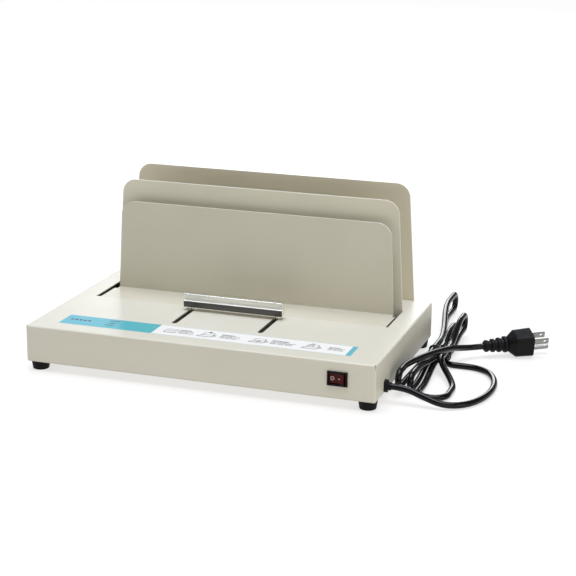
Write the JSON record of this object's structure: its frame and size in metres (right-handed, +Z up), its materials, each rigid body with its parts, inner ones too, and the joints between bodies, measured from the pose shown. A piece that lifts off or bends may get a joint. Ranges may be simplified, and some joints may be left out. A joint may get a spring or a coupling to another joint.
{
  "type": "thermal binding machine",
  "caption": "Desk machine that glues paper into covers: flat heated base, sliding clamp plate with chrome handle, cooling rack plates and a power cord.",
  "frame": {"origin": "on the surface that the four feet stand on, below the middle of the casing", "axes": "+X to the right seen from the front (the switch side), +Y to the back, +Z up"},
  "size_m": [0.5102, 0.3769, 0.18],
  "materials": {
    "casing_paint": "fine textured satin powder coat",
    "plate_paint": "satin powder coat",
    "foot_rubber": "matte",
    "zinc_steel": "zinc plated",
    "galvanised_steel": "galvanised sheet",
    "chrome": "polished",
    "pad_nylon": "matte nylon",
    "heater_aluminium": "rolled sheet",
    "mat_silicone": "matte silicone rubber",
    "insulation_fibre": "pressed fibre board",
    "ceramic": "glazed ceramic",
    "phenolic": "dark moulded resin",
    "fuse_metal": "satin",
    "switch_black": "fine matte",
    "rocker_red": "glossy, translucent red",
    "lamp_glass": "small neon lamp",
    "contact_brass": "satin",
    "block_plastic": "natural nylon",
    "wire_pvc": "satin insulation",
    "wire_sleeve": "heat-proof braided sleeve",
    "label_film": "printed film",
    "gland_plastic": "matte nylon",
    "cord_pvc": "glossy black PVC",
    "tie_wire": "plastic-coated wire",
    "plug_pvc": "matte moulded PVC",
    "blade_nickel": "nickel plated"
  },
  "bodies": {
    "base": {"top_casing": "casing_paint", "base_plate": "casing_paint", "foot_front_left": "foot_rubber", "foot_front_right": "foot_rubber", "foot_rear_left": "foot_rubber", "foot_rear_right": "foot_rubber", "foot_screws": "zinc_steel", "foot_nuts": "zinc_steel", "casing_screws": "zinc_steel", "rear_plate": "plate_paint", "rear_plate_screws": "zinc_steel", "middle_plate": "plate_paint", "middle_plate_screws": "zinc_steel", "guide_rail_left": "galvanised_steel", "guide_rail_right": "galvanised_steel", "rail_screws": "zinc_steel", "heater_plate": "heater_aluminium", "heating_mat": "mat_silicone", "insulation_board": "insulation_fibre", "heat_shield": "galvanised_steel", "ceramic_standoffs": "ceramic", "heater_screws": "zinc_steel", "thermostat": "phenolic", "thermostat_screws": "zinc_steel", "thermal_fuse": "fuse_metal", "fuse_clip": "galvanised_steel", "fuse_clip_screw": "zinc_steel", "switch_body": "switch_black", "switch_lamp": "lamp_glass", "switch_terminals": "contact_brass", "terminal_block": "block_plastic", "terminal_screws": "contact_brass", "earth_stud": "contact_brass", "earth_nut": "contact_brass", "supply_wires": "wire_pvc", "switch_wires": "wire_pvc", "heater_wires": "wire_sleeve", "instruction_label": "label_film", "cord_gland": "gland_plastic", "cord_hank": "cord_pvc", "cord_lead": "cord_pvc", "cord_tail": "cord_pvc", "cord_tie": "tie_wire", "plug_body": "plug_pvc", "plug_blades": "blade_nickel", "plug_ground_pin": "blade_nickel"},
    "clamp": {"clamp_plate": "plate_paint", "glide_pads": "pad_nylon", "handle_bar": "chrome", "handle_posts": "zinc_steel", "handle_washers": "zinc_steel", "handle_screws": "zinc_steel"},
    "rocker": {"rocker": "rocker_red"}
  },
  "joints": [
    {"name": "clamp_slide", "type": "slide", "parent": "base", "child": "clamp", "axis": [0, 1, 0], "range_m": [-0.041, 0.0113]},
    {"name": "rocker_tilt", "type": "hinge", "parent": "base", "child": "rocker", "pos_m": [0.151, -0.1129, 0.031], "axis": [0, 0, 1], "range_deg": [0, 20]}
  ]
}
